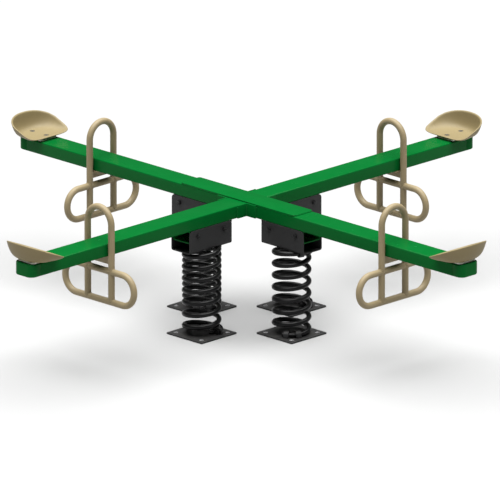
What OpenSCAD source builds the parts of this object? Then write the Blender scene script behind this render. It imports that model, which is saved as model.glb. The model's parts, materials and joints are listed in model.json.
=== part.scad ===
// Four-seat spring seesaw: two crossed beams on four coil springs.
// Units are millimetres. +Z is up, the ground is at z = 0 and the crossing stands over the origin.
// The four arms point to +X, +Y, -X and -Y and are called east, north, west and south.

/* [Beams] */
// Distance from the crossing to the end of each arm
beam_reach = 1195; // [1050:1:1500]
// Width of a beam
beam_w = 101.6; // [84:0.1:122]
// Height of a beam
beam_h = 50.8; // [42:0.1:61]
// Wall of a beam tube
beam_wall = 4.8; // [3:0.1:6]
// Outer corner radius of a beam tube
beam_r = 5; // [4:0.5:12]
// Length of the closed arm end beyond the tube
cap_l = 50; // [46:1:70]
// Plan radius of the closed arm end
cap_r = 28; // [10:1:32]
// Wall of the closed arm end
cap_t = 8; // [7:0.5:9]
// Length of the plug that the arm end pushes into the tube
plug_l = 22; // [10:1:40]

/* [Crossing] */
// Length of the doubler plate on top of the long beam
hub_plate_l = 610; // [400:1:730]
// Thickness of the doubler plate
hub_plate_t = 5; // [3:0.5:8]
// Corner radius of the doubler plate
hub_plate_r = 10; // [2:1:30]
// Leg length of the corner angles
corner_leg = 50.8; // [30:0.1:61]
// Thickness of the corner angles
corner_t = 4.8; // [3:0.1:6.5]

/* [Springs] */
// Distance from the crossing to each spring's axis
spring_x = 242; // [215:1:300]
// Free height between base plate and bracket
spring_h = 343; // [280:1:420]
// Outer diameter of a spring
spring_d = 152.4; // [127:0.1:170]
// Wire diameter of a spring
wire_d = 19; // [15.5:0.5:23]
// Free turns of a spring
spring_turns = 6.9; // [5.6:0.1:8.3]
// Direction in which the lower wire end lies
tail_angle = 285; // [280:1:290]

/* [Spring brackets] */
// Height of a bracket
bracket_h = 91; // [76:1:110]
// Length of a bracket
bracket_l = 224; // [190:1:270]
// Plate thickness of a bracket
bracket_t = 4.8; // [4:0.1:6]
// Outer bend radius of a bracket
bracket_r = 9; // [6:0.5:12]
// Radius of the upper corners of a bracket's side walls
bracket_corner_r = 14; // [2:0.5:20]
// Height of the lug tube under the beam
lug_h = 50.8; // [42:0.1:55]
// Wall of the lug tube
lug_wall = 4.8; // [3:0.1:6]
// How far the lug ends lie back from the bracket ends
lug_setback = 5; // [0:1:20]
// Spacing of a bracket's two cross bolts
bracket_bolt_pitch = 140; // [110:1:170]
// Diameter of the cross bolts
bracket_bolt_d = 10; // [8:1:12]

/* [Base plates] */
// Side of a base plate
base_w = 190.5; // [185:0.5:240]
// Thickness of a base plate
base_t = 6; // [5:0.5:12]
// Corner radius of a base plate
base_r = 4; // [1:0.5:10]
// Spacing of the anchor holes
anchor_pitch = 139.7; // [136:0.1:160]
// Diameter of the anchor holes
anchor_d = 17.5; // [10:0.5:20]

/* [Spring clips] */
// Width of a clip
clip_w = 20; // [16:1:22]
// Thickness of a clip
clip_t = 5; // [3:0.5:6]
// Distance from a clip's wall to its bolt's axis
clip_bolt_gap = 10.3; // [10:0.1:11.5]
// Distance from a clip's bolt axis to its inner end
clip_foot_l = 9; // [7:0.5:10]
// Diameter of the clip bolts
clip_bolt_d = 8; // [6:1:8]

/* [Handles and foot loops] */
// Distance from the crossing to each handle
handle_x = 786; // [700:1:880]
// Tube diameter of handles and foot loops
tube_d = 25.4; // [21.3:0.1:30.4]
// Wall of the handle tube
tube_wall = 2.6; // [1.6:0.1:3.5]
// Height of the handle above the beam
handle_rise = 134; // [112:1:190]
// Distance from the beam's underside down to the crossbar's axis
crossbar_drop = 59.5; // [55:0.5:80]
// Distance between the foot loop's upper and lower bar axes
loop_h = 120; // [100:1:144]
// Overall width of a foot loop
loop_w = 395; // [370:1:474]
// Leg length of the angle bar under the beam
angle_leg = 32; // [27:0.5:38]
// Thickness of the angle bar
angle_t = 5; // [4:0.5:6]
// Spacing of the angle bar's bolts
angle_bolt_pitch = 50; // [40:1:60]
// Diameter of the angle bar's bolts
angle_bolt_d = 8; // [6:1:10]

/* [Seats] */
// Width of a seat
seat_w = 226; // [190:1:280]
// Length of a seat
seat_l = 161; // [150:1:195]
// Thickness of a seat shell
seat_t = 8; // [6:0.5:10]
// Slope of the seat's rim, which rises towards the arm's end
seat_slope = 22.8; // [18:0.1:27]
// How far the seat's back stands out past the arm's end
seat_overhang = 24; // [10:1:40]
// How sharply the seat's walls turn up
seat_steepness = 7; // [5:0.5:10]
// Spacing of the seat's two bolts
seat_bolt_pitch = 76; // [60:1:90]
// Diameter of the seat bolts
seat_bolt_d = 9.5; // [8:0.5:11]
// Length of the pad under a seat
pad_l = 110; // [100:1:130]
// Width of the pad under a seat
pad_w = 88; // [70:1:100]
// Thickness of the pad under a seat
pad_t = 6.5; // [4:0.5:10]
// Corner radius of the pad
pad_r = 12; // [4:1:16]

/* [Fits] */
// Radial play of a bolt in its hole
bolt_play = 0.3; // [0.1:0.1:0.6]
// Gap between a spring's wire and what holds it
spring_gap = 0.3; // [0.2:0.1:0.6]
// Side gap between lug and bracket
lug_gap = 0.2; // [0.1:0.1:0.5]
// Gap between the end plug and the tube's bore
plug_gap = 0.3; // [0.1:0.1:0.5]
// Gap left for the weld where tubes meet
weld_gap = 0.1; // [0.05:0.05:0.3]

/* [Hidden] */
$fn = 48;
SIDES = ["east", "north", "west", "south"];
ARM_PARTS = [
    "end_cap", "seat", "seat_pad", "handle_hoop", "foot_loop", "foot_crossbar", "handle_angle",
    "spring_lug", "spring_bracket", "spring", "base_plate"
];
FRAME_PARTS = ["beam_long", "beam_north", "beam_south", "hub_plate", "corner_angles"];
FASTENERS = [
    "seat_bolts", "seat_nuts", "handle_bolts", "bracket_bolts", "bracket_nuts",
    "lower_clips", "lower_clip_bolts", "upper_clips", "upper_clip_bolts", "upper_clip_nuts"
];

frame_green = [0.03, 0.52, 0.22];
tube_tan = [0.72, 0.64, 0.49];
seat_tan = [0.88, 0.79, 0.58];
pad_grey = [0.72, 0.72, 0.62];
steel_black = [0.15, 0.15, 0.16];
spring_black = [0.10, 0.10, 0.11];
bolt_grey = [0.45, 0.46, 0.48];

// A cut reaches this far past the face that it opens
over = 1;

// Heights from the ground up
web_z = base_t + spring_h;
beam_z = web_z + bracket_h;
beam_mid = beam_z + beam_h / 2;
beam_top = beam_z + beam_h;
tube_end = beam_reach - cap_l;

// Springs: the wire lies flat at both ends, and an even climb lies between two short ramps
coil_r = (spring_d - wire_d) / 2;
wire_r = wire_d / 2;
ramp = 25;
lower_flat = 31;
upper_tail_angle = 38;
upper_flat_min = 65;
climb = spring_h - wire_d - 2 * spring_gap;
climb_angle = 360 * spring_turns;
lower_tail = lower_flat + ramp;
top_cross_angle = tail_angle + lower_tail + climb_angle;
upper_tail_min = upper_flat_min + ramp;
upper_tail = upper_tail_min + wrap(upper_tail_angle - top_cross_angle - upper_tail_min);
wire_angle = lower_tail + climb_angle + upper_tail;
rings_per_turn = 20;
wire_rings = ceil(wire_angle / 360 * rings_per_turn);
wire_sides = 8;
chord_sag = coil_r * (1 - cos(180 / rings_per_turn));

// Clips: two on the lower end, counted from the wire's end, and two under the bracket's web
clip_bow = coil_r - sqrt(coil_r ^ 2 - clip_w ^ 2 / 4);
clip_play = spring_gap + chord_sag + clip_bow;
clip_bolt_x = coil_r - wire_r - clip_play - clip_t - clip_bolt_gap;
clip_foot_x = clip_bolt_x - clip_foot_l;
clip_step = 2 * atan(clip_w / 2 / clip_foot_x) + 0.26;
first_clip_turn = 14;
upper_clip_middle = 4;
lower_clip_turns = [first_clip_turn, first_clip_turn + clip_step];
upper_clip_angles = [upper_clip_middle + clip_step / 2, upper_clip_middle - clip_step / 2];
clip_head_w = 13;
clip_head_h = 5.5;
nut_h = 6.5;
nut_w = 13;

// Handles and foot loops
tube_r = tube_d / 2;
leg_y = beam_w / 2 + tube_r + weld_gap;
hoop_top_z = beam_top + handle_rise;
arch_z = hoop_top_z - leg_y;
upper_bar_z = beam_z - crossbar_drop;
lower_bar_z = upper_bar_z - loop_h;
bend_r = loop_h / 2;
bend_y = loop_w / 2 - tube_r - bend_r;

// Seats
seat_x = beam_reach + seat_overhang - seat_l / 2;
seat_bolt_x = seat_x - 12;
seat_under_z = beam_top + pad_t;
seat_floor_z = seat_under_z + seat_t;
seat_rows = 8;
seat_columns = 40;
seat_back_power = 2.15;
seat_front_power = 5;
row_spread = 0.6;
seat_head_d = 19;
seat_head_h = 4;
seat_nut_w = 15;
seat_nut_h = 8;

// Bracket cross bolts
bracket_head_w = 16;
bracket_head_h = 6.5;
bolt_end = 3;

function wrap(angle) = ((angle % 360) + 360) % 360;

// Zero before the ramp, rising evenly after it
function soft_start(v) = v < -ramp ? 0 : v > ramp ? v : (v + ramp) ^ 2 / (4 * ramp);

// Height of the wire's centre above the plate, a given angle along from the lower wire end
function wire_z(u) =
    wire_r + spring_gap
    + climb / climb_angle * (soft_start(u - lower_tail) - soft_start(u - lower_tail - climb_angle));

function wire_slope(u) = (wire_z(u + 1) - wire_z(u - 1)) * 90 / PI / coil_r;

// One corner of the wire's outline, in a ring square to the wire
function wire_corner(u, turn) =
    let (
        lean = atan(wire_slope(u)),
        out = wire_r * cos(turn),
        up = wire_r * sin(turn),
        a = tail_angle + u
    )
    [
        (coil_r + out) * cos(a) + up * sin(lean) * sin(a),
        (coil_r + out) * sin(a) - up * sin(lean) * cos(a),
        wire_z(u) + up * cos(lean)
    ];

// Seat outline: an ellipse at the back and a fuller curve at the front
function signed_power(v, p) = sign(v) * abs(v) ^ p;
function seat_power(phi) = cos(phi) > 0 ? seat_back_power : seat_front_power;
function seat_outline(phi) = [
    seat_l / 2 * signed_power(cos(phi), 2 / seat_power(phi)),
    seat_w / 2 * signed_power(sin(phi), 2 / seat_power(phi))
];
function rim_z(x) = seat_floor_z + tan(seat_slope) * (x + seat_l / 2);

// A point of the seat's underside (inset = 0) or of its sitting face (inset = seat_t)
function seat_point(s, phi, inset) =
    let (
        edge = seat_outline(phi),
        kept = 1 - inset / norm(edge),
        floor_z = seat_under_z + inset,
        x = edge.x * kept,
        y = edge.y * kept
    )
    [seat_x + x * s, y * s, floor_z + (rim_z(x) - floor_z) * s ^ seat_steepness];

// ---- helpers ----

module on_arm(i) {
    rotate([0, 0, 90 * i]) children();
}

module all_arms() {
    for (i = [0:3]) on_arm(i) children();
}

// Springs on opposite arms are turned alike, and those on the cross arms a quarter turn further
module at_spring(i) {
    on_arm(i) translate([spring_x, 0, 0]) rotate([0, 0, i > 1 ? 180 : 0]) children();
}

module rounded_rect(w, h, r) {
    square([w - 2 * r, h], center = true);
    square([w, h - 2 * r], center = true);
    for (x = [-1, 1], y = [-1, 1]) translate([x * (w / 2 - r), y * (h / 2 - r)]) circle(r);
}

// Extrudes an outline drawn across Y and Z from x0 to x1
module along_x(x0, x1) {
    translate([x0, 0, 0]) rotate([90, 0, 90]) linear_extrude(x1 - x0) children();
}

module along_y(y0, y1) {
    translate([0, y0, 0]) rotate([-90, 0, 0]) linear_extrude(y1 - y0) children();
}

module tube_ring() {
    difference() {
        circle(tube_r);
        circle(tube_r - tube_wall);
    }
}

module beam_section(inset) {
    translate([0, beam_mid]) rounded_rect(beam_w - 2 * inset, beam_h - 2 * inset, max(beam_r - inset, 1));
}

module bolt_hole(d, z0, z1) {
    translate([0, 0, z0]) cylinder(d = d + 2 * bolt_play, h = z1 - z0);
}

module hex(w, h) {
    cylinder(d = w / cos(30), h = h, $fn = 6);
}

module at_seat_bolts() {
    for (x = [-1, 1]) translate([seat_bolt_x + x * seat_bolt_pitch / 2, 0, 0]) children();
}

module at_angle_bolts() {
    for (y = [-1, 1]) translate([handle_x - angle_leg / 2, y * angle_bolt_pitch / 2, 0]) children();
}

module at_bracket_bolts() {
    for (x = [-1, 1]) translate([spring_x + x * bracket_bolt_pitch / 2, 0, beam_z - lug_h / 2]) children();
}

// ---- beams and crossing ----

module arm_bolt_holes() {
    at_seat_bolts() bolt_hole(seat_bolt_d, beam_z - over, beam_top + over);
    at_angle_bolts() bolt_hole(angle_bolt_d, beam_z - over, beam_z + beam_wall + over);
}

module beam_tube(x0, x1) {
    difference() {
        along_x(x0, x1) beam_section(0);
        along_x(x0 - over, x1 + over) beam_section(beam_wall);
    }
}

module beam_long() {
    color(frame_green) difference() {
        beam_tube(-tube_end, tube_end);
        for (i = [0, 2]) on_arm(i) arm_bolt_holes();
    }
}

module beam_half() {
    color(frame_green) difference() {
        beam_tube(beam_w / 2, tube_end);
        arm_bolt_holes();
    }
}

module hub_plate() {
    color(frame_green) translate([0, 0, beam_top]) linear_extrude(hub_plate_t)
        rounded_rect(hub_plate_l, beam_w, hub_plate_r);
}

module corner_angle() {
    translate([beam_w / 2, beam_w / 2, beam_z]) difference() {
        cube([corner_leg, corner_leg, beam_h]);
        translate([corner_t, corner_t, -over]) cube([corner_leg, corner_leg, beam_h + 2 * over]);
    }
}

module corner_angles() {
    color(frame_green) all_arms() corner_angle();
}

// Plan of the closed arm end, drawn inwards from its outer face by inset
module cap_plan(x0, inset) {
    r = cap_r - inset;
    half = beam_w / 2 - inset;
    end = beam_reach - inset;
    translate([x0, -half]) square([end - r - x0, 2 * half]);
    translate([x0, r - half]) square([end - x0, 2 * (half - r)]);
    for (y = [-1, 1]) translate([end - r, y * (half - r)]) circle(r);
}

module cap_block(x0, inset) {
    intersection() {
        along_x(x0, beam_reach - inset) beam_section(inset);
        translate([0, 0, beam_z]) linear_extrude(beam_h) cap_plan(x0, inset);
    }
}

module end_cap() {
    plug_start = tube_end - plug_l;
    color(frame_green) difference() {
        union() {
            cap_block(tube_end, 0);
            along_x(plug_start, tube_end + over) beam_section(beam_wall + plug_gap);
        }
        cap_block(plug_start - over, cap_t);
        at_seat_bolts() bolt_hole(seat_bolt_d, beam_z - over, beam_top + over);
    }
}

// ---- seats ----

module seat() {
    rows = [for (k = [1:seat_rows]) (k / seat_rows) ^ row_spread];
    columns = [for (c = [0:seat_columns - 1]) 360 * c / seat_columns];
    rings = concat(
        [for (s = rows) [for (phi = columns) seat_point(s, phi, 0)]],
        [for (k = [seat_rows - 1:-1:0]) [for (phi = columns) seat_point(rows[k], phi, seat_t)]]
    );
    last = 1 + len(rings) * seat_columns;
    points = concat(
        [[seat_x, 0, seat_under_z]],
        [for (ring = rings) each ring],
        [[seat_x, 0, seat_floor_z]]
    );
    strips = [
        for (k = [0:len(rings) - 2], c = [0:seat_columns - 1])
            let (
                a = 1 + k * seat_columns + c,
                b = 1 + k * seat_columns + (c + 1) % seat_columns
            )
            each [[a, a + seat_columns, b], [b, a + seat_columns, b + seat_columns]]
    ];
    under = [for (c = [0:seat_columns - 1]) [0, 1 + c, 1 + (c + 1) % seat_columns]];
    top_start = last - seat_columns;
    top = [for (c = [0:seat_columns - 1]) [last, top_start + (c + 1) % seat_columns, top_start + c]];
    color(seat_tan) difference() {
        polyhedron(points, concat(under, strips, top), convexity = 6);
        at_seat_bolts() {
            bolt_hole(seat_bolt_d, seat_under_z - over, seat_floor_z + over);
            translate([0, 0, seat_floor_z - seat_head_h]) cylinder(d = seat_head_d + 1, h = seat_head_h + over);
        }
    }
}

module seat_pad() {
    color(pad_grey) difference() {
        translate([seat_bolt_x, 0, beam_top]) linear_extrude(pad_t) rounded_rect(pad_l, pad_w, pad_r);
        at_seat_bolts() bolt_hole(seat_bolt_d, beam_top - over, seat_under_z + over);
    }
}

module seat_bolts() {
    color(bolt_grey) all_arms() at_seat_bolts() {
        bottom = beam_z - seat_nut_h - bolt_end;
        translate([0, 0, bottom]) cylinder(d = seat_bolt_d, h = seat_floor_z - seat_head_h - bottom);
        translate([0, 0, seat_floor_z - seat_head_h]) cylinder(d = seat_head_d, h = seat_head_h - 1);
    }
}

module seat_nuts() {
    color(bolt_grey) all_arms() at_seat_bolts() translate([0, 0, beam_z - seat_nut_h]) difference() {
        hex(seat_nut_w, seat_nut_h);
        translate([0, 0, -over]) cylinder(d = seat_bolt_d, h = seat_nut_h + 2 * over);
    }
}

// ---- handles and foot loops ----

module lower_bar_cut() {
    translate([handle_x, 0, lower_bar_z]) along_y(-bend_y, bend_y) circle(tube_r + weld_gap);
}

module leg_cut() {
    for (y = [-1, 1]) translate([handle_x, y * leg_y, lower_bar_z])
        cylinder(r = tube_r + weld_gap, h = arch_z - lower_bar_z);
}

module handle_hoop() {
    color(tube_tan) difference() {
        union() {
            for (y = [-1, 1]) translate([handle_x, y * leg_y, lower_bar_z])
                linear_extrude(arch_z - lower_bar_z) tube_ring();
            translate([handle_x, 0, arch_z]) rotate([90, 0, 90])
                rotate_extrude(angle = 180) translate([leg_y, 0]) tube_ring();
        }
        lower_bar_cut();
    }
}

module loop_bend() {
    translate([handle_x, bend_y, lower_bar_z + bend_r]) rotate([90, 0, 90]) rotate([0, 0, -90])
        rotate_extrude(angle = 180) translate([bend_r, 0]) tube_ring();
}

module foot_loop() {
    color(tube_tan) difference() {
        union() {
            translate([handle_x, 0, lower_bar_z]) along_y(-bend_y, bend_y) tube_ring();
            for (side = [0, 1]) mirror([0, side, 0]) {
                loop_bend();
                translate([handle_x, 0, upper_bar_z]) along_y(leg_y, bend_y) tube_ring();
            }
        }
        translate([0, 0, loop_h / 2]) leg_cut();
    }
}

module foot_crossbar() {
    color(tube_tan) difference() {
        translate([handle_x, 0, upper_bar_z]) along_y(-leg_y, leg_y) tube_ring();
        leg_cut();
    }
}

module handle_angle() {
    color(tube_tan) difference() {
        translate([handle_x, 0, beam_z]) {
            translate([-angle_t / 2, -beam_w / 2, -angle_leg]) cube([angle_t, beam_w, angle_leg]);
            translate([-angle_leg, -beam_w / 2, -angle_t]) cube([angle_leg, beam_w, angle_t]);
        }
        at_angle_bolts() bolt_hole(angle_bolt_d, beam_z - angle_t - over, beam_z + over);
    }
}

module handle_bolts() {
    color(bolt_grey) all_arms() at_angle_bolts() {
        translate([0, 0, beam_z - angle_t]) cylinder(d = angle_bolt_d, h = angle_t + beam_wall + bolt_end);
        translate([0, 0, beam_z - angle_t - clip_head_h]) hex(clip_head_w, clip_head_h);
    }
}

// ---- springs and what holds them ----

module spring() {
    rings = [
        for (k = [0:wire_rings])
            [for (n = [0:wire_sides - 1]) wire_corner(wire_angle * k / wire_rings, 360 * n / wire_sides)]
    ];
    sides = [
        for (k = [0:wire_rings - 1], n = [0:wire_sides - 1])
            let (
                a = k * wire_sides + n,
                b = k * wire_sides + (n + 1) % wire_sides
            )
            each [[a, a + wire_sides, b], [b, a + wire_sides, b + wire_sides]]
    ];
    first = [for (n = [0:wire_sides - 1]) n];
    last = [for (n = [wire_sides - 1:-1:0]) wire_rings * wire_sides + n];
    color(spring_black) translate([0, 0, base_t])
        polyhedron([for (ring = rings) each ring], concat([first, last], sides), convexity = 20);
}

// Outline of a clip across the wire, whose centre stands at height z over the plate
module clip_outline(z, play) {
    grip = wire_r + play;
    difference() {
        union() {
            translate([clip_foot_x, 0]) square([coil_r - clip_foot_x, clip_t]);
            translate([coil_r - grip - clip_t, 0]) square([2 * (grip + clip_t), z]);
            translate([coil_r, z]) circle(grip + clip_t);
        }
        translate([coil_r, z]) circle(grip);
        translate([coil_r - grip, -over]) square([2 * grip, z + over]);
        translate([0, -2 * wire_d]) square([2 * coil_r, 2 * wire_d]);
    }
}

module clip(z, play) {
    difference() {
        rotate([90, 0, 0]) linear_extrude(clip_w, center = true) clip_outline(z, play);
        translate([clip_bolt_x, 0, 0]) bolt_hole(clip_bolt_d, -over, clip_t + over);
    }
}

// Places a clip of the lower end, a given angle along from the wire's end
module at_lower_clip(u) {
    rotate([0, 0, tail_angle + u]) children();
}

module lower_clip(u) {
    half_turn = asin(clip_w / 2 / coil_r);
    low = wire_z(u - half_turn);
    high = wire_z(u + half_turn);
    clip((low + high) / 2, clip_play + (high - low) / 2);
}

module each_lower_clip() {
    for (i = [0:3]) at_spring(i) for (u = lower_clip_turns) at_lower_clip(u) {
        $clip_turn = u;
        children();
    }
}

module lower_clips() {
    color(steel_black) each_lower_clip() translate([0, 0, base_t]) lower_clip($clip_turn);
}

module lower_clip_bolts() {
    color(bolt_grey) each_lower_clip() translate([clip_bolt_x, 0, 0]) {
        cylinder(d = clip_bolt_d, h = base_t + clip_t);
        translate([0, 0, base_t + clip_t]) hex(clip_head_w, clip_head_h);
    }
}

module each_upper_clip() {
    for (i = [0:3]) at_spring(i) for (a = upper_clip_angles) rotate([0, 0, a]) children();
}

module upper_clips() {
    color(steel_black) each_upper_clip() translate([0, 0, web_z]) mirror([0, 0, 1])
        clip(wire_r + spring_gap, clip_play);
}

module upper_clip_bolts() {
    top = web_z + bracket_t + nut_h + bolt_end;
    bottom = web_z - clip_t;
    color(bolt_grey) each_upper_clip() translate([clip_bolt_x, 0, 0]) {
        translate([0, 0, bottom]) cylinder(d = clip_bolt_d, h = top - bottom);
        translate([0, 0, bottom - clip_head_h]) hex(clip_head_w, clip_head_h);
    }
}

module upper_clip_nuts() {
    color(bolt_grey) each_upper_clip() translate([clip_bolt_x, 0, web_z + bracket_t]) difference() {
        hex(nut_w, nut_h);
        translate([0, 0, -over]) cylinder(d = clip_bolt_d, h = nut_h + 2 * over);
    }
}

// Outline of the U-shaped bracket, or of the space inside it (inset = bracket_t)
module bracket_section(inset, top) {
    r = bracket_r - inset;
    half = beam_w / 2 - inset;
    translate([-half, inset + r]) square([2 * half, top - inset - r]);
    translate([-half + r, inset]) square([2 * (half - r), top - inset]);
    for (y = [-1, 1]) translate([y * (half - r), inset + r]) circle(r);
}

// Side view of a bracket, with its upper corners rounded
module bracket_side() {
    r = bracket_corner_r;
    x0 = spring_x - bracket_l / 2;
    x1 = spring_x + bracket_l / 2;
    top = beam_z - lug_gap;
    translate([x0, web_z - over]) square([bracket_l, top - r - web_z + over]);
    translate([x0 + r, web_z]) square([bracket_l - 2 * r, top - web_z]);
    for (x = [x0 + r, x1 - r]) translate([x, top - r]) circle(r);
}

module spring_bracket(i) {
    x0 = spring_x - bracket_l / 2 - over;
    x1 = spring_x + bracket_l / 2 + over;
    color(steel_black) difference() {
        intersection() {
            rotate([90, 0, 0]) linear_extrude(2 * beam_w, center = true) bracket_side();
            translate([0, 0, web_z]) difference() {
                along_x(x0, x1) bracket_section(0, bracket_h + over);
                along_x(x0 - over, x1 + over) bracket_section(bracket_t, bracket_h + 2 * over);
            }
        }
        at_bracket_bolts() along_y(-beam_w, beam_w) circle(d = bracket_bolt_d + 2 * bolt_play);
        on_arm(-i) at_spring(i) for (a = upper_clip_angles) rotate([0, 0, a])
            translate([clip_bolt_x, 0, 0]) bolt_hole(clip_bolt_d, web_z - over, web_z + bracket_t + over);
    }
}

module spring_lug() {
    w = beam_w - 2 * bracket_t - 2 * lug_gap;
    x0 = spring_x - bracket_l / 2 + lug_setback;
    x1 = spring_x + bracket_l / 2 - lug_setback;
    color(frame_green) difference() {
        along_x(x0, x1) translate([0, beam_z - lug_h / 2]) rounded_rect(w, lug_h, lug_wall);
        along_x(x0 - over, x1 + over) translate([0, beam_z - lug_h / 2])
            square([w - 2 * lug_wall, lug_h - 2 * lug_wall], center = true);
        at_bracket_bolts() along_y(-beam_w, beam_w) circle(d = bracket_bolt_d + 2 * bolt_play);
    }
}

module bracket_bolts() {
    half = beam_w / 2;
    color(bolt_grey) all_arms() at_bracket_bolts() {
        along_y(-half, half + bracket_head_h + bolt_end) circle(d = bracket_bolt_d);
        translate([0, -half, 0]) rotate([90, 0, 0]) hex(bracket_head_w, bracket_head_h);
    }
}

module bracket_nuts() {
    color(bolt_grey) all_arms() at_bracket_bolts() translate([0, beam_w / 2, 0]) rotate([-90, 0, 0])
        difference() {
            hex(bracket_head_w, bracket_head_h);
            translate([0, 0, -over]) cylinder(d = bracket_bolt_d, h = bracket_head_h + 2 * over);
        }
}

module base_plate() {
    color(steel_black) difference() {
        linear_extrude(base_t) rounded_rect(base_w, base_w, base_r);
        for (x = [-1, 1], y = [-1, 1]) translate([x * anchor_pitch / 2, y * anchor_pitch / 2, -over])
            cylinder(d = anchor_d, h = base_t + 2 * over);
        for (u = lower_clip_turns) at_lower_clip(u) translate([clip_bolt_x, 0, -over])
            cylinder(d = clip_bolt_d, h = base_t + 2 * over);
    }
}

// ---- one line for each node ----

beam_long();
on_arm(1) beam_half();  // beam_north
on_arm(3) beam_half();  // beam_south
hub_plate();
corner_angles();
for (i = [0:3]) {
    on_arm(i) end_cap();
    on_arm(i) seat();
    on_arm(i) seat_pad();
    on_arm(i) handle_hoop();
    on_arm(i) foot_loop();
    on_arm(i) foot_crossbar();
    on_arm(i) handle_angle();
    on_arm(i) spring_lug();
    on_arm(i) spring_bracket(i);
    at_spring(i) spring();
    at_spring(i) base_plate();
}
seat_bolts();
seat_nuts();
handle_bolts();
bracket_bolts();
bracket_nuts();
lower_clips();
lower_clip_bolts();
upper_clips();
upper_clip_bolts();
upper_clip_nuts();
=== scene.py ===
"""Looks of the four-seat spring seesaw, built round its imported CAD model. Metres, +Z up."""

import json
import math

import bmesh
import bpy
import numpy as np
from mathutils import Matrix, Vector


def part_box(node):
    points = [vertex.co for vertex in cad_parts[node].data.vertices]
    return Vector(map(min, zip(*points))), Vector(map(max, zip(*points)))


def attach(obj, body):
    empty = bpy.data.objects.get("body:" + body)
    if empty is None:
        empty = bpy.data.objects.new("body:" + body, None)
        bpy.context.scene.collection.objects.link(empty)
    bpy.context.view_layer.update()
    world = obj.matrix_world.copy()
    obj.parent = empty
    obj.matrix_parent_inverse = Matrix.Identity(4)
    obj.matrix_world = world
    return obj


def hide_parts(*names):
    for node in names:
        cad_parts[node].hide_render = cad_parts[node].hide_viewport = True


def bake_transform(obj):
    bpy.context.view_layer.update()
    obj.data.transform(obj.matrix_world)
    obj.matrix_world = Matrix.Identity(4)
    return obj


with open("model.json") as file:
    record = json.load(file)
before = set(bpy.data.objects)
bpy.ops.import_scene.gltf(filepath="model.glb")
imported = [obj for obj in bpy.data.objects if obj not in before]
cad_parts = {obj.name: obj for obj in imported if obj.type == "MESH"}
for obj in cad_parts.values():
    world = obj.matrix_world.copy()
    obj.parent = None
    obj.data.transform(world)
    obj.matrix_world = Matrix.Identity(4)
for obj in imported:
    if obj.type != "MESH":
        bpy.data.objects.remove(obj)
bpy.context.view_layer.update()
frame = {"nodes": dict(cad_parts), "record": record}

# ---- sizes, read from the CAD model where it shows them ----

MM = 0.001
SIDES = ["east", "north", "west", "south"]


def low(node):
    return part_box(node)[0]


def high(node):
    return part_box(node)[1]


BEAM_TOP = high("beam_long").z
BEAM_Z = low("beam_long").z
BEAM_H = BEAM_TOP - BEAM_Z
BEAM_MID = (BEAM_TOP + BEAM_Z) / 2
BEAM_HALF = high("beam_long").y
TUBE_END = high("beam_long").x
REACH = high("end_cap_east").x
BEAM_R = 5 * MM
BEAM_SEAM = 0.7 * MM
CAP_R = 28 * MM
CAP_END_R = 2.5 * MM
HUB_CORNER_R = 10 * MM
CORNER_ANGLE_T = 4.8 * MM

WEB_Z = low("spring_bracket_east").z
BRACKET_X0, BRACKET_X1 = low("spring_bracket_east").x, high("spring_bracket_east").x
BRACKET_TOP = high("spring_bracket_east").z
BRACKET_T = 4.8 * MM
BRACKET_R = 9 * MM
BRACKET_CORNER_R = 14 * MM
LUG_X0, LUG_X1 = low("spring_lug_east").x, high("spring_lug_east").x
LUG_HALF = high("spring_lug_east").y
LUG_Z = low("spring_lug_east").z
LUG_WALL = 4.8 * MM
LUG_INNER_R = 2 * MM
LUG_MID = (LUG_Z + BEAM_Z) / 2

BASE_T = high("base_plate_east").z
BASE_W = high("base_plate_east").y - low("base_plate_east").y
SPRING_X = (low("base_plate_east").x + high("base_plate_east").x) / 2
BASE_CORNER_R = 4 * MM
ANCHOR_PITCH = 139.7 * MM
ANCHOR_R = 8.75 * MM

COIL_R = 66.7 * MM
WIRE_R = 9.5 * MM
SPRING_GAP = 0.3 * MM
SPRING_TURNS = 6.9
TAIL_ANGLE = 285
RAMP = 25
LOWER_TAIL = 31 + RAMP
UPPER_TAIL_ANGLE = 38
UPPER_TAIL_MIN = 65 + RAMP
CLIMB = WEB_Z - BASE_T - 2 * WIRE_R - 2 * SPRING_GAP
CLIMB_ANGLE = 360 * SPRING_TURNS

HANDLE_X = (low("foot_crossbar_east").x + high("foot_crossbar_east").x) / 2
TUBE_R = (high("foot_crossbar_east").x - low("foot_crossbar_east").x) / 2
LEG_Y = high("handle_hoop_east").y - TUBE_R
HOOP_TOP = high("handle_hoop_east").z - TUBE_R
LOWER_BAR_Z = low("foot_loop_east").z + TUBE_R
UPPER_BAR_Z = high("foot_loop_east").z - TUBE_R
BEND_R = (UPPER_BAR_Z - LOWER_BAR_Z) / 2
BEND_Y = high("foot_loop_east").y - TUBE_R - BEND_R

SEAT_X = (low("seat_east").x + high("seat_east").x) / 2
SEAT_L = high("seat_east").x - low("seat_east").x
SEAT_W = high("seat_east").y - low("seat_east").y
SEAT_UNDER = low("seat_east").z
SEAT_T = 8 * MM
SEAT_FLOOR = SEAT_UNDER + SEAT_T
SEAT_SLOPE = math.radians(22.8)
SEAT_STEEPNESS = 7
SEAT_BACK_POWER = 2.15
SEAT_FRONT_POWER = 5


# ---- shapes: each is (vertices, faces), built in the east arm's frame ----

def unit(v):
    return v / np.linalg.norm(v, axis=-1, keepdims=True)


def loft(rings, loop=False):
    """A skin over rings of points, closed at both ends unless it is a loop."""
    rings = np.asarray(rings, float)
    n, m = rings.shape[:2]
    faces = []
    for k in range(n if loop else n - 1):
        a, b = k * m, (k + 1) % n * m
        faces += [(a + j, a + (j + 1) % m, b + (j + 1) % m, b + j) for j in range(m)]
    if not loop:
        faces += [tuple(reversed(range(m))), tuple(range((n - 1) * m, n * m))]
    return rings.reshape(-1, 3), faces


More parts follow.
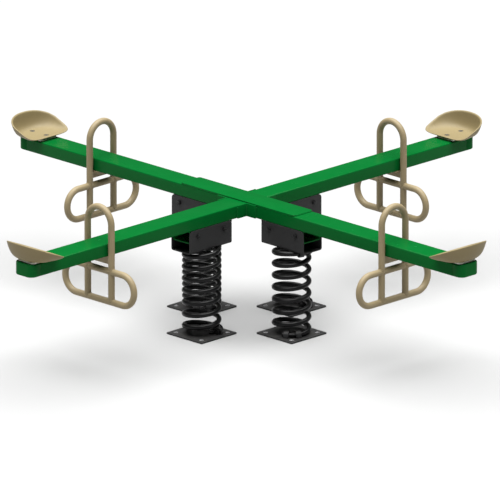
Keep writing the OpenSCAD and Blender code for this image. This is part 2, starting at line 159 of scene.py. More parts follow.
def sweep(path, radius, up, sides=32, loop=False):
    """A round bar along a path. The radius is one number, or one for each point."""
    path = np.asarray(path, float)
    before, after = np.roll(path, 1, 0), np.roll(path, -1, 0)
    if not loop:
        before[0], after[-1] = path[0], path[-1]
    along = unit(after - before)
    out = unit(np.cross(along, up))
    top = np.cross(out, along)
    turn = np.linspace(0, 2 * math.pi, sides, endpoint=False)[None, :, None]
    radius = np.broadcast_to(radius, len(path))[:, None, None]
    rings = path[:, None] + radius * (np.cos(turn) * out[:, None] + np.sin(turn) * top[:, None])
    return loft(rings, loop)


def lathe(profile, steps=48):
    """A solid turned round Z from (radius, height) pairs, listed from the bottom up."""
    turn = np.linspace(0, 2 * math.pi, steps, endpoint=False)
    x, y = np.cos(turn), np.sin(turn)
    return loft([np.column_stack([r * x, r * y, np.full(steps, z)]) for r, z in profile])


def filleted(corners, steps=6):
    """An outline from (x, y, fillet radius) corners, with each corner rounded by an arc."""
    points = []
    for k, (x, y, r) in enumerate(corners):
        here = np.array([x, y])
        back = unit(np.array(corners[k - 1][:2]) - here)
        on = unit(np.array(corners[(k + 1) % len(corners)][:2]) - here)
        half = math.acos(np.clip(back @ on, -1, 1)) / 2
        if r <= 0:
            points.append(here)
            continue
        centre = here + unit(back + on) * r / math.sin(half)
        start = here + back * r / math.tan(half) - centre
        end = here + on * r / math.tan(half) - centre
        sweep_angle = math.atan2(start[0] * end[1] - start[1] * end[0], start @ end)
        for t in np.linspace(0, sweep_angle, steps + 1):
            c, s = math.cos(t), math.sin(t)
            points.append(centre + [c * start[0] - s * start[1], s * start[0] + c * start[1]])
    return np.array(points)


def rounded_rect(w, h, r, steps=6):
    return filleted([(w / 2, h / 2, r), (-w / 2, h / 2, r), (-w / 2, -h / 2, r), (w / 2, -h / 2, r)], steps)


def circle_outline(x, y, r, steps=40):
    """A hole's outline, which runs clockwise."""
    turn = -np.linspace(0, 2 * math.pi, steps, endpoint=False)
    return np.column_stack([x + r * np.cos(turn), y + r * np.sin(turn)])


def edge_rings(outline, depth, edge, steps=3):
    """Rings up the side of a slab, drawn in by a quarter round of radius edge at both faces."""
    left = np.roll(outline, -1, 0) - outline
    left = unit(np.column_stack([-left[:, 1], left[:, 0]]))
    before = np.roll(left, 1, 0)
    inward = (left + before) / (1 + np.sum(left * before, axis=1, keepdims=True))
    turns = [math.pi / 2 * k / steps for k in range(steps + 1)]
    rim = [(edge * (1 - math.sin(t)), edge * (1 - math.cos(t))) for t in turns]
    levels = rim + [(inset, depth - z) for inset, z in reversed(rim)]
    return [np.column_stack([outline + inset * inward, np.full(len(outline), z)]) for inset, z in levels]


def slab(outline, depth, edge=0.8 * MM, holes=()):
    """A plate of an outline in X and Y from z = 0 to depth, with rounded edges and holes."""
    bm = bmesh.new()
    ends = [[], []]
    for loop in (outline, *holes):
        rings = [[bm.verts.new(p) for p in ring] for ring in edge_rings(loop, depth, edge)]
        m = len(loop)
        for a, b in zip(rings, rings[1:]):
            for j in range(m):
                bm.faces.new((a[j], a[(j + 1) % m], b[(j + 1) % m], b[j]))
        for end, ring in zip(ends, (rings[0], rings[-1])):
            end += [bm.edges.get((ring[j], ring[(j + 1) % m])) for j in range(m)]
    for end in ends:
        bmesh.ops.triangle_fill(bm, edges=end, use_dissolve=False, use_beauty=True)
    bm.verts.index_update()
    shape = [tuple(v.co) for v in bm.verts], [tuple(v.index for v in f.verts) for f in bm.faces]
    bm.free()
    return shape


def joined(*shapes):
    """Several shapes as one."""
    verts, faces = [], []
    for v, f in shapes:
        start = len(verts)
        verts += [tuple(p) for p in v]
        faces += [tuple(start + k for k in face) for face in f]
    return verts, faces


def placed(shape, at=(0, 0, 0), x=(1, 0, 0), y=(0, 1, 0)):
    """A shape moved to a point, with its X and Y axes turned to the two given directions."""
    x, y = Vector(x), Vector(y)
    axes = np.array([x, y, x.cross(y)], float)
    return [tuple(p) for p in np.asarray(shape[0], float) @ axes + np.array(at, float)], shape[1]


def mirrored_y(shape):
    verts = [(x, -y, z) for x, y, z in shape[0]]
    return verts, [tuple(reversed(f)) for f in shape[1]]


def both_sides(shape):
    return joined(shape, mirrored_y(shape))


def line(start, end, step=1.5 * MM):
    start, end = np.array(start, float), np.array(end, float)
    count = max(2, int(np.linalg.norm(end - start) / step) + 1)
    return start + (end - start) * np.linspace(0, 1, count)[:, None]


def bead(path, up, radius=2.4 * MM, loop=False, ripple=2.6 * MM):
    """A weld bead: a thin bar whose surface swells and sinks where the weld pool froze."""
    path = np.asarray(path, float)
    run = np.concatenate([[0], np.cumsum(np.linalg.norm(np.diff(path, axis=0), axis=1))])
    pool = np.abs(np.sin(math.pi * run / ripple))
    slow = np.sin(run / (9 * MM)) + np.sin(run / (5.3 * MM) + 1)
    radii = radius * (0.86 + 0.12 * pool + 0.03 * slow)
    if not loop:
        radii[[0, -1]] *= 0.5
    return sweep(path, radii, up, 10, loop)


# ---- materials ----

GREEN = (0.0008, 0.0905, 0.0146)
TAN = (0.25, 0.198, 0.112)
SEAT_TAN = (0.198, 0.156, 0.075)
# the pad's colour is lifted above its own grey as painted light, so that it reads pale in the seat's shade
PAD_GREY_PAINTED_LIGHT = (0.8, 0.8, 0.7)
BLACK = (0.018, 0.018, 0.0185)
SPRING_BLACK = (0.004, 0.004, 0.0043)
ZINC = (0.08, 0.08, 0.082)
BLACK_OXIDE = (0.005, 0.005, 0.0055)
# bare metal made pale as painted light, standing in for lit floor seen through the anchor holes
BARE_ZINC_PAINTED_LIGHT = (0.5, 0.5, 0.51)
FLOOR = (0.338, 0.338, 0.338)


class Finish:
    """A procedural material, built up in the object's own coordinates."""

    def __init__(self, name, color, roughness, metallic=0.0, coat=0.0, coat_roughness=0.1, specular=0.5):
        self.material = bpy.data.materials.new(name)
        self.material.use_nodes = True
        self.nodes = self.material.node_tree.nodes
        self.links = self.material.node_tree.links
        self.shader = self.nodes["Principled BSDF"]
        self.shader.inputs["Metallic"].default_value = metallic
        self.shader.inputs["Coat Weight"].default_value = coat
        self.shader.inputs["Coat Roughness"].default_value = coat_roughness
        self.shader.inputs["Specular IOR Level"].default_value = specular
        self.place = self.nodes.new("ShaderNodeTexCoord").outputs["Object"]
        self.color = color
        self.rough = roughness
        self.height = None

    def feed(self, socket, given):
        """Sets a socket to a number or a colour, or links it to another node's output."""
        if isinstance(given, (int, float)):
            socket.default_value = given
        elif isinstance(given, tuple):
            socket.default_value = (*given, 1)[:len(socket.default_value)]
        else:
            self.links.new(given, socket)

    def math(self, kind, a, b=0.0, clamp=False):
        node = self.nodes.new("ShaderNodeMath")
        node.operation = kind
        node.use_clamp = clamp
        self.feed(node.inputs[0], a)
        self.feed(node.inputs[1], b)
        return node.outputs[0]

    def noise(self, size, detail=3.0, stretch=(1, 1, 1), roughness=0.55):
        """Noise from 0 to 1 whose blotches are about size metres across."""
        node = self.nodes.new("ShaderNodeTexNoise")
        node.inputs["Scale"].default_value = 1 / size
        node.inputs["Detail"].default_value = detail
        node.inputs["Roughness"].default_value = roughness
        mapping = self.nodes.new("ShaderNodeMapping")
        mapping.inputs["Scale"].default_value = stretch
        self.links.new(self.place, mapping.inputs["Vector"])
        self.links.new(mapping.outputs[0], node.inputs["Vector"])
        return node.outputs["Fac"]

    def ramp(self, fac, start, end, low=0.0, high=1.0):
        node = self.nodes.new("ShaderNodeMapRange")
        node.interpolation_type = "SMOOTHSTEP"
        for name, number in (("From Min", start), ("From Max", end), ("To Min", low), ("To Max", high)):
            node.inputs[name].default_value = number
        self.links.new(fac, node.inputs["Value"])
        return node.outputs["Result"]

    def edges(self, width):
        """1 on the rounded edges of a piece and 0 on its flat faces."""
        bevel = self.nodes.new("ShaderNodeBevel")
        bevel.samples = 4
        bevel.inputs["Radius"].default_value = width
        geometry = self.nodes.new("ShaderNodeNewGeometry")
        dot = self.nodes.new("ShaderNodeVectorMath")
        dot.operation = "DOT_PRODUCT"
        self.links.new(bevel.outputs[0], dot.inputs[0])
        self.links.new(geometry.outputs["Normal"], dot.inputs[1])
        return self.ramp(dot.outputs["Value"], 0.995, 0.9)

    def upward(self):
        """1 on faces that look up and 0 on walls and undersides."""
        geometry = self.nodes.new("ShaderNodeNewGeometry")
        split = self.nodes.new("ShaderNodeSeparateXYZ")
        self.links.new(geometry.outputs["Normal"], split.inputs[0])
        return self.ramp(split.outputs["Z"], 0.5, 1.0)

    def tint(self, fac, color, strength=1.0):
        """Mixes a colour in where fac is high."""
        mix = self.nodes.new("ShaderNodeMix")
        mix.data_type = "RGBA"
        self.links.new(self.math("MULTIPLY", fac, strength), mix.inputs["Factor"])
        self.feed(mix.inputs[6], self.color)
        self.feed(mix.inputs[7], color)
        self.color = mix.outputs[2]
        return self

    def shade(self, fac, spread):
        """Lightens and darkens the colour by up to spread, as fac goes from 0 to 1."""
        gain = self.math("ADD", self.math("MULTIPLY", fac, 2 * spread), 1 - spread)
        scale = self.nodes.new("ShaderNodeVectorMath")
        scale.operation = "SCALE"
        self.feed(scale.inputs[0], self.color)
        self.links.new(gain, scale.inputs["Scale"])
        self.color = scale.outputs[0]
        return self

    def roughen(self, fac, amount):
        self.rough = self.math("ADD", self.rough, self.math("MULTIPLY", fac, amount), clamp=True)
        return self

    def raise_by(self, fac, metres):
        step = self.math("MULTIPLY", fac, metres)
        self.height = self.math("ADD", self.height, step) if self.height else step
        return self

    def done(self):
        if self.height:
            bump = self.nodes.new("ShaderNodeBump")
            bump.inputs["Distance"].default_value = 1.0
            self.links.new(self.height, bump.inputs["Height"])
            self.links.new(bump.outputs[0], self.shader.inputs["Normal"])
            self.links.new(bump.outputs[0], self.shader.inputs["Coat Normal"])
        self.feed(self.shader.inputs["Base Color"], self.color)
        self.feed(self.shader.inputs["Roughness"], self.rough)
        return self.material


def green_enamel():
    """Thick gloss enamel on steel tube: orange peel, soft waves, chipped edges, a painted highlight on the
    edges and painted top light on upward faces.
    """
    f = Finish("green_enamel", GREEN, 0.22, specular=0.05)
    f.shade(f.noise(0.30, 2), 0.07).shade(f.noise(0.012, 4), 0.04)
    # painted highlight: the rounded edges are tinted a lighter green
    f.tint(f.edges(2.2 * MM), (0.006, 0.17, 0.035), 0.3)
    chips = f.math("MULTIPLY", f.edges(1.2 * MM), f.ramp(f.noise(0.007, 4), 0.66, 0.72))
    f.tint(chips, (0.09, 0.10, 0.085), 0.6)
    # painted top light: upward faces are tinted a lighter green in patches
    f.tint(f.math("MULTIPLY", f.upward(), f.ramp(f.noise(0.05, 5), 0.35, 0.8)), (0.012, 0.15, 0.035), 0.08)
    f.roughen(f.noise(0.04, 4), 0.08).roughen(chips, 0.3)
    f.raise_by(f.noise(0.0022, 1), 0.05 * MM).raise_by(f.noise(0.02, 2), 0.12 * MM)
    f.raise_by(chips, -0.06 * MM)
    return f.done()


def tan_powder():
    """Powder coat on the handle tube, polished where hands and feet rub it."""
    f = Finish("tan_powder", TAN, 0.42, specular=0.3)
    f.shade(f.noise(0.12, 2), 0.06).shade(f.noise(0.006, 4), 0.04)
    f.tint(f.ramp(f.noise(0.03, 6), 0.62, 0.85), (0.22, 0.17, 0.10), 0.25)
    f.roughen(f.noise(0.03, 4), 0.16)
    f.raise_by(f.noise(0.0016, 1), 0.05 * MM).raise_by(f.noise(0.008, 2), 0.05 * MM)
    return f.done()


def seat_plastic():
    """Moulded plastic: a fine grain, soft blotches, scuffs and dirt in the grain."""
    f = Finish("seat_plastic", SEAT_TAN, 0.46, specular=0.3)
    f.shade(f.noise(0.09, 2), 0.05).shade(f.noise(0.004, 3), 0.03)
    scuffs = f.ramp(f.noise(0.05, 6, stretch=(1, 5, 1)), 0.62, 0.75)
    f.tint(scuffs, (0.34, 0.27, 0.16), 0.22)
    f.roughen(f.noise(0.03, 4), 0.14).roughen(scuffs, 0.15)
    f.raise_by(f.noise(0.0013, 2), 0.09 * MM).raise_by(f.noise(0.015, 2), 0.10 * MM)
    return f.done()


def pad_rubber():
    # painted light: the pad is coloured paler than its own grey to look lit where the seat shades it
    f = Finish("pad_rubber", PAD_GREY_PAINTED_LIGHT, 0.72, specular=0.25)
    f.shade(f.noise(0.03, 4), 0.10).shade(f.noise(0.0015, 2), 0.06)
    f.roughen(f.noise(0.01, 3), 0.12)
    f.raise_by(f.noise(0.0012, 2), 0.12 * MM)
    return f.done()


def black_satin():
    """Satin black coat on pressed plate, with a painted highlight and chips on the edges, dust and painted
    top light on upward faces, and fine scratches.
    """
    f = Finish("black_satin", BLACK, 0.42, specular=0.22)
    f.shade(f.noise(0.06, 4), 0.14)
    edge_highlight_and_wear = f.edges(1.6 * MM)
    # painted highlight: the rounded edges are tinted a lighter grey; the chips below use the same edge mask
    f.tint(edge_highlight_and_wear, (0.05, 0.05, 0.052), 0.6)
    chips = f.math("MULTIPLY", edge_highlight_and_wear, f.ramp(f.noise(0.005, 4), 0.62, 0.70))
    f.tint(chips, (0.12, 0.115, 0.11), 0.6)
    # dust and painted top light: upward faces are tinted a lighter grey in patches
    f.tint(f.math("MULTIPLY", f.upward(), f.ramp(f.noise(0.03, 6), 0.30, 0.75)), (0.05, 0.048, 0.044), 0.50)
    f.roughen(f.noise(0.02, 5), 0.18).roughen(f.ramp(f.noise(0.012, 3, stretch=(1, 9, 9)), 0.6, 0.8), 0.1)
    f.raise_by(f.noise(0.0018, 2), 0.05 * MM).raise_by(chips, -0.05 * MM)
    return f.done()


def spring_enamel():
    """Gloss black on hot-wound bar: the bar's draw marks and small dull patches show through."""
    f = Finish("spring_enamel", SPRING_BLACK, 0.26, specular=0.2)
    f.shade(f.noise(0.04, 4), 0.15)
    dull = f.ramp(f.noise(0.018, 6), 0.58, 0.78)
    f.tint(dull, (0.022, 0.021, 0.019), 0.5)
    f.tint(f.math("MULTIPLY", f.upward(), f.noise(0.02, 5)), (0.03, 0.029, 0.026), 0.25)
    f.roughen(dull, 0.22).roughen(f.noise(0.01, 4), 0.1)
    f.raise_by(f.noise(0.003, 2), 0.08 * MM).raise_by(f.noise(0.012, 3), 0.15 * MM)
    return f.done()


def dark_zinc():
    """Plated fasteners: a faint mottle and darker blotches."""
    f = Finish("dark_zinc", ZINC, 0.36, metallic=0.7)
    f.shade(f.noise(0.008, 4), 0.22).shade(f.noise(0.0012, 2), 0.10)
    f.tint(f.ramp(f.noise(0.004, 5), 0.55, 0.75), (0.06, 0.055, 0.05), 0.5)
    f.roughen(f.noise(0.003, 4), 0.25)
    f.raise_by(f.noise(0.0008, 2), 0.03 * MM)
    return f.done()


def black_oxide():
    """Oiled black fasteners, darker than the plates that they hold."""
    f = Finish("black_oxide", BLACK_OXIDE, 0.35, specular=0.25)
    f.shade(f.noise(0.006, 4), 0.25).roughen(f.noise(0.004, 4), 0.2)
    # painted highlight: a lighter ring is tinted on the heads' rounded edges
    f.tint(f.edges(0.8 * MM), (0.03, 0.029, 0.028), 0.4)
    f.raise_by(f.noise(0.001, 2), 0.03 * MM)
    return f.done()


def bare_zinc_painted_light():
    """Unpainted galvanised steel in the walls of drilled holes, made pale as painted light that stands in
    for lit floor seen through the holes.
    """
    f = Finish("bare_zinc_painted_light", BARE_ZINC_PAINTED_LIGHT, 0.5, metallic=0.4)
    f.shade(f.noise(0.004, 4), 0.15).roughen(f.noise(0.003, 4), 0.2)
    f.raise_by(f.noise(0.0012, 2), 0.04 * MM)
    return f.done()


def pale_floor():
    f = Finish("pale_floor", FLOOR, 0.9, specular=0.0)
    f.shade(f.noise(0.5, 3), 0.006)
    return f.done()


MATERIALS = {
    "green_paint": green_enamel(),
    "tan_tube": tan_powder(),
    "seat_shell": seat_plastic(),
    "seat_pad": pad_rubber(),
    "black_steel": black_satin(),
    "spring_steel": spring_enamel(),
    "zinc_bolt": dark_zinc(),
}


# ---- pieces ----

def show(name, shape, slot, body, replaces=(), crease=32, finish=None):
    """Makes a piece of the object that rides on a body, in its slot's finish or in its own."""
    mesh = bpy.data.meshes.new(name)
    mesh.from_pydata([tuple(v) for v in shape[0]], [], shape[1])
    bm = bmesh.new()
    bm.from_mesh(mesh)
    bmesh.ops.recalc_face_normals(bm, faces=bm.faces)
    bm.to_mesh(mesh)
    bm.free()
    mesh.shade_smooth()
    mesh.set_sharp_from_angle(angle=math.radians(crease))
    mesh.materials.append(finish or MATERIALS[slot])
    piece = bpy.data.objects.new(name, mesh)
    bpy.context.scene.collection.objects.link(piece)
    if body:
        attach(piece, body)
    if replaces:
        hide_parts(*replaces)
    return piece


def turned(shape, arm):
    """A shape of the east arm, turned to another arm."""
    c, s = round(math.cos(arm * math.pi / 2)), round(math.sin(arm * math.pi / 2))
    return [(c * x - s * y, s * x + c * y, z) for x, y, z in shape[0]], shape[1]


def on_all_arms(shape):
    return joined(*(turned(shape, arm) for arm in range(4)))


def moved(shape, x=0.0, y=0.0, z=0.0):
    return [(p[0] + x, p[1] + y, p[2] + z) for p in shape[0]], shape[1]


def spun(shape, degrees):
    """A shape turned round Z."""
    c, s = math.cos(math.radians(degrees)), math.sin(math.radians(degrees))
    return [(c * x - s * y, s * x + c * y, z) for x, y, z in shape[0]], shape[1]


def at_spring(shape, arm):
    """A shape built round a spring's axis, put at an arm's spring. Opposite springs are turned alike."""
    if arm > 1:
        shape = turned(shape, 2)
    return turned(moved(shape, SPRING_X), arm)


def at_all_springs(shape):
    return joined(*(at_spring(shape, arm) for arm in range(4)))


def along_x(outline, x0, x1, z, edge=0.8 * MM, holes=()):
    """A bar from x0 to x1 whose outline is drawn in Y and Z, round height z."""
    return placed(slab(outline, x1 - x0, edge, holes), (x0, 0, z), (0, 1, 0), (0, 0, 1))


# Beams and crossing

def end_cap():
    """The closed arm end. The beam's section draws in along a round plan and a small end radius."""
    stations = [(TUBE_END, BEAM_SEAM), (TUBE_END + BEAM_SEAM, 0)]
    stations += [(REACH - CAP_R * (1 - math.sin(t)), 0) for t in np.linspace(0, math.pi / 2, 28)]
    rings = []
    for x, inset in stations:
        turn_in = max(0, x - (REACH - CAP_R))
        half = BEAM_HALF - CAP_R + math.sqrt(max(CAP_R ** 2 - turn_in ** 2, 0)) - inset
        drop = max(0, x - (REACH - CAP_END_R))
        tall = BEAM_H / 2 - CAP_END_R + math.sqrt(max(CAP_END_R ** 2 - drop ** 2, 0)) - inset
        ring = rounded_rect(2 * half, 2 * tall, BEAM_R - inset, 8)
        rings.append(np.column_stack([np.full(len(ring), x), ring[:, 0], BEAM_MID + ring[:, 1]]))
    return loft(rings)


def make_beams():
    section = rounded_rect(2 * BEAM_HALF, BEAM_H, BEAM_R, 8)
    whole = along_x(section, -TUBE_END, TUBE_END, BEAM_MID, BEAM_SEAM)
    show("long_beam", whole, "green_paint", "frame", ["beam_long"])
    half = along_x(section, BEAM_HALF, TUBE_END, BEAM_MID, BEAM_SEAM)
    show("north_half_beam", turned(half, 1), "green_paint", "frame", ["beam_north"])
    show("south_half_beam", turned(half, 3), "green_paint", "frame", ["beam_south"])
    plate_l = high("hub_plate").x
    plate_t = high("hub_plate").z - BEAM_TOP
    plate = slab(rounded_rect(2 * plate_l, 2 * BEAM_HALF, HUB_CORNER_R, 8), plate_t, 1.2 * MM)
    show("crossing_plate", moved(plate, z=BEAM_TOP), "green_paint", "frame", ["hub_plate"])
    leg = high("corner_angles").x - BEAM_HALF
    t = CORNER_ANGLE_T
    toe = 1 * MM
    outline = filleted([(0, 0, 0.6 * MM), (leg, 0, toe), (leg, t, toe),
                        (t, t, 3.5 * MM), (t, leg, toe), (0, leg, toe)])
    angle = moved(slab(outline, BEAM_H, 0.8 * MM), BEAM_HALF, BEAM_HALF, BEAM_Z)
    show("crossing_corner_angles", on_all_arms(angle), "green_paint", "frame", ["corner_angles"])
    make_crossing_welds(plate_l, leg)


def make_crossing_welds(plate_l, leg):
    """Beads round the doubler plate, up the corner angles and under the half beams' ends."""
    seam_x, seam_y, seam_z = plate_l - HUB_CORNER_R, BEAM_HALF - 1.9 * MM, BEAM_TOP - 0.7 * MM
    plate_seam = both_sides(bead(line((-seam_x, seam_y, seam_z), (seam_x, seam_y, seam_z)), (0, 0, 1)))
    end_x, end_y, end_z = plate_l + 0.6 * MM, BEAM_HALF - 12 * MM, BEAM_TOP + 1.0 * MM
    plate_end = bead(line((end_x, -end_y, end_z), (end_x, end_y, end_z)), (0, 0, 1), 2.6 * MM)
    corner = (BEAM_HALF + leg + 0.6 * MM, BEAM_HALF + 0.8 * MM)
    upright = bead(line((*corner, BEAM_Z + 2 * MM), (*corner, BEAM_TOP - 5 * MM)), (1, 0, 0), 2.2 * MM)
    swap = [(y, x, z) for x, y, z in upright[0]], upright[1]
    under_x, under_y, under_z = BEAM_HALF + 1.5 * MM, BEAM_HALF - 9 * MM, BEAM_Z + 1.2 * MM
    under = bead(line((under_x, -under_y, under_z), (under_x, under_y, under_z)), (0, 0, 1), 2.6 * MM)
    welds = joined(plate_seam, plate_end, turned(plate_end, 2), on_all_arms(joined(upright, swap)),
                   turned(under, 1), turned(under, 3))
    show("crossing_welds", welds, "green_paint", "frame")


def make_arm_ends():
    for arm, side in enumerate(SIDES):
        show(f"arm_end_{side}", turned(end_cap(), arm), "green_paint", "frame", [f"end_cap_{side}"], 50)


# Springs and what holds them

def soft_start(v):
    """A slope that starts gradually: 0 before -RAMP and v after RAMP."""
    return 0 if v < -RAMP else v if v > RAMP else (v + RAMP) ** 2 / (4 * RAMP)


def wire_z(u):
    """Height of the wire's centre, a given angle along from its lower end."""
    rise = soft_start(u - LOWER_TAIL) - soft_start(u - LOWER_TAIL - CLIMB_ANGLE)
    return BASE_T + WIRE_R + SPRING_GAP + CLIMB / CLIMB_ANGLE * rise


CLIMB_END = TAIL_ANGLE + LOWER_TAIL + CLIMB_ANGLE
UPPER_TAIL = UPPER_TAIL_MIN + (UPPER_TAIL_ANGLE - CLIMB_END - UPPER_TAIL_MIN) % 360
WIRE_ANGLE = LOWER_TAIL + CLIMB_ANGLE + UPPER_TAIL


def wire_point(u):
    a = math.radians(TAIL_ANGLE + u)
    return COIL_R * math.cos(a), COIL_R * math.sin(a), wire_z(u)


def make_springs():
    """Each spring is cut in three lengths, at borders set up its height."""
    first, last = BASE_T + 2 * WIRE_R, WEB_Z - 2 * WIRE_R
    turns = np.linspace(0, WIRE_ANGLE, int(WIRE_ANGLE / 6) + 1)
    heights = np.array([wire_z(u) for u in turns])
    for arm, side in enumerate(SIDES):
        shares = [0, 0.28, 0.78, 1] if arm % 2 == 0 else [0, 0.28, 0.5, 1]
        borders = [first + share * (last - first) for share in shares]
        cuts = [0, *np.searchsorted(heights, borders[1:3]), len(turns) - 1]
        for k, length in enumerate(("lower", "middle", "upper")):
            path = [wire_point(u) for u in turns[cuts[k]:cuts[k + 1] + 1]]
            coil = sweep(path, WIRE_R, (0, 0, 1), 20)
            piece = show(f"spring_{side}_{length}", at_spring(coil, arm), "spring_steel", None,
                         [f"spring_{side}"] if k == 0 else ())
            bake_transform(piece)


def hexagon_radius(across, turn):
    return across / 2 / np.cos((turn + math.pi / 6) % (math.pi / 3) - math.pi / 6)


def hex_head(across, height, both_faces=False, steps=72):
    """A bolt head or nut that stands on z = 0, with its corners turned off by a 30 degree cone."""
    turn = np.linspace(0, 2 * math.pi, steps, endpoint=False)
    face_r = 0.475 * across
    corner_drop = (across / 2 / math.cos(math.pi / 6) - face_r) * math.tan(math.pi / 6)
    slope = [corner_drop * k / 4 for k in range(5)]
    levels = [(height - d, d) for d in reversed(slope)]
    levels = ([(d, d) for d in slope] if both_faces else [(0, corner_drop)]) + levels
    rings = []
    for z, depth in levels:
        r = np.minimum(hexagon_radius(across, turn), face_r + depth / math.tan(math.pi / 6))
        rings.append(np.column_stack([r * np.cos(turn), r * np.sin(turn), np.full(steps, z)]))
    return loft(rings)


def thread(diameter, length, pitch=1.5 * MM, steps=36):
    """The threaded end of a bolt, from z = 0 up, with a chamfered tip."""
    turn = np.linspace(0, 2 * math.pi, steps, endpoint=False)
    depth = 0.5 * pitch
    rings = []
    for z in np.linspace(0, length, max(6, int(length / pitch * 8))):
        wave = np.abs(((z / pitch - turn / (2 * math.pi)) % 1) * 2 - 1)
        r = diameter / 2 - depth * wave
        r = np.minimum(r, diameter / 2 - depth + (length - z))
        rings.append(np.column_stack([r * np.cos(turn), r * np.sin(turn), np.full(steps, z)]))
    return loft(rings)


BRACKET_BOLT_D = 10 * MM
BRACKET_BOLT_PITCH = 140 * MM
BRACKET_HEAD_W = 16 * MM
BRACKET_HEAD_H = 6.5 * MM
BOLT_END = 3 * MM


def spring_bracket():
    """The bent plate, lofted from one wall's top edge round under the lug to the other's."""
    brim, bend = 0.8 * MM, BRACKET_R - BRACKET_T / 2
    wall, web = BRACKET_TOP - WEB_Z - BRACKET_R, BEAM_HALF - BRACKET_R
    quarter = np.linspace(0, math.pi / 2, 13)
    steps = sorted([*(brim * (1 - np.cos(quarter[::3]))), *(BRACKET_CORNER_R * (1 - np.cos(quarter[1:]))),
                    wall, *(wall + bend * quarter[1:]), wall + bend * math.pi / 2 + web])
    rings = []
    for d in steps:
        a = min(max(d - wall, 0) / bend, math.pi / 2)
        along_web = max(d - wall - bend * math.pi / 2, 0)
        out = np.array([math.cos(a), -math.sin(a)])
        middle = (web + bend * out[0] - along_web, BRACKET_R + bend * out[1] + max(wall - d, 0))
        inset = brim - math.sqrt(brim ** 2 - max(brim - d, 0) ** 2)
        corner = BRACKET_CORNER_R - math.sqrt(BRACKET_CORNER_R ** 2 - max(BRACKET_CORNER_R - d, 0) ** 2)
        length = BRACKET_X1 - BRACKET_X0 - 2 * corner
        edge = max(brim - inset, 0.05 * MM)
        outline = rounded_rect(length, BRACKET_T - 2 * inset, edge, 4)
        rings.append([(SPRING_X + x, middle[0] + n * out[0], WEB_Z + middle[1] + n * out[1])
                      for x, n in outline])
    other_half = [[(x, -y, z) for x, y, z in ring] for ring in reversed(rings[:-1])]
    return loft([*rings, *other_half])


def make_brackets():
    bracket = spring_bracket()
    lug_h = BEAM_Z - LUG_Z
    inner = rounded_rect(2 * (LUG_HALF - LUG_WALL), lug_h - 2 * LUG_WALL, LUG_INNER_R)[::-1]
    lug = along_x(rounded_rect(2 * LUG_HALF, lug_h, LUG_WALL), LUG_X0, LUG_X1, LUG_MID, holes=[inner])
    seams = []
    for x, out in ((LUG_X0, -1), (LUG_X1, 1)):
        ends = [(x + out * 0.8 * MM, y * (LUG_HALF - 4 * MM), BEAM_Z - 0.8 * MM) for y in (-1, 1)]
        seams.append(bead(line(*ends), (0, 0, 1), 2.4 * MM))
    for arm, side in enumerate(SIDES):
        show(f"spring_bracket_{side}.plate", turned(bracket, arm), "black_steel", "frame",
             [f"spring_bracket_{side}"])
        show(f"lug_tube_{side}", turned(lug, arm), "green_paint", "frame", [f"spring_lug_{side}"])
        show(f"lug_welds_{side}", turned(joined(*seams), arm), "green_paint", "frame")

    oxide = black_oxide()
    heads, nuts = [], []
    for x in (SPRING_X - BRACKET_BOLT_PITCH / 2, SPRING_X + BRACKET_BOLT_PITCH / 2):
        head = hex_head(BRACKET_HEAD_W, BRACKET_HEAD_H)
        heads.append(placed(head, (x, -BEAM_HALF, LUG_MID), (1, 0, 0), (0, 0, 1)))
        end = thread(BRACKET_BOLT_D, BRACKET_HEAD_H + BOLT_END)
        heads.append(placed(end, (x, BEAM_HALF, LUG_MID), (0, 0, 1), (1, 0, 0)))
        nut = hex_head(BRACKET_HEAD_W, BRACKET_HEAD_H, True)
        nuts.append(placed(nut, (x, BEAM_HALF, LUG_MID), (0, 0, 1), (1, 0, 0)))
    show("bracket_bolts_all", on_all_arms(joined(*heads)), "black_steel", "frame",
         ["bracket_bolts"], finish=oxide)
    show("bracket_nuts_all", on_all_arms(joined(*nuts)), "black_steel", "frame",
         ["bracket_nuts"], finish=oxide)


CLIP_W = 20 * MM
CLIP_T = 5 * MM
CLIP_BOLT_D = 8 * MM
CLIP_HEAD_W = 13 * MM
CLIP_HEAD_H = 5.5 * MM
CLIP_NUT_H = 6.5 * MM
CLIP_PLAY = 1.9 * MM
CLIP_BOLT_X = COIL_R - WIRE_R - CLIP_PLAY - CLIP_T - 10.3 * MM
CLIP_FOOT_X = CLIP_BOLT_X - 9 * MM
CLIP_STEP = 2 * math.degrees(math.atan(CLIP_W / 2 / CLIP_FOOT_X)) + 0.26
LOWER_CLIP_TURNS = (14, 14 + CLIP_STEP)
UPPER_CLIP_ANGLES = (4 + CLIP_STEP / 2, 4 - CLIP_STEP / 2)


def clip(height, play):
    """A strap on z = 0 along +X, over wire whose centre is at the given height."""
    grip = WIRE_R + play
    inside, outside = COIL_R - grip, COIL_R + grip
    arc = np.linspace(math.pi, 0, 17)
    outer = [(COIL_R + (grip + CLIP_T) * math.cos(a), height + (grip + CLIP_T) * math.sin(a)) for a in arc]
    inner = [(COIL_R + grip * math.cos(a), height + grip * math.sin(a)) for a in arc[::-1]]
    small = 0.5 * MM
    foot = filleted([(CLIP_FOOT_X, 0, small), (CLIP_FOOT_X, CLIP_T, 2 * MM),
                     (inside - CLIP_T, CLIP_T, small), (inside - CLIP_T, height, 0)])
    outline = np.array([*foot[:-1], *outer, (outside + CLIP_T, 0), (outside, 0), *inner, (inside, 0)])
    strap = slab(outline[::-1], CLIP_W, 0.8 * MM)
    return placed(strap, (0, CLIP_W / 2, 0), (1, 0, 0), (0, 0, 1))


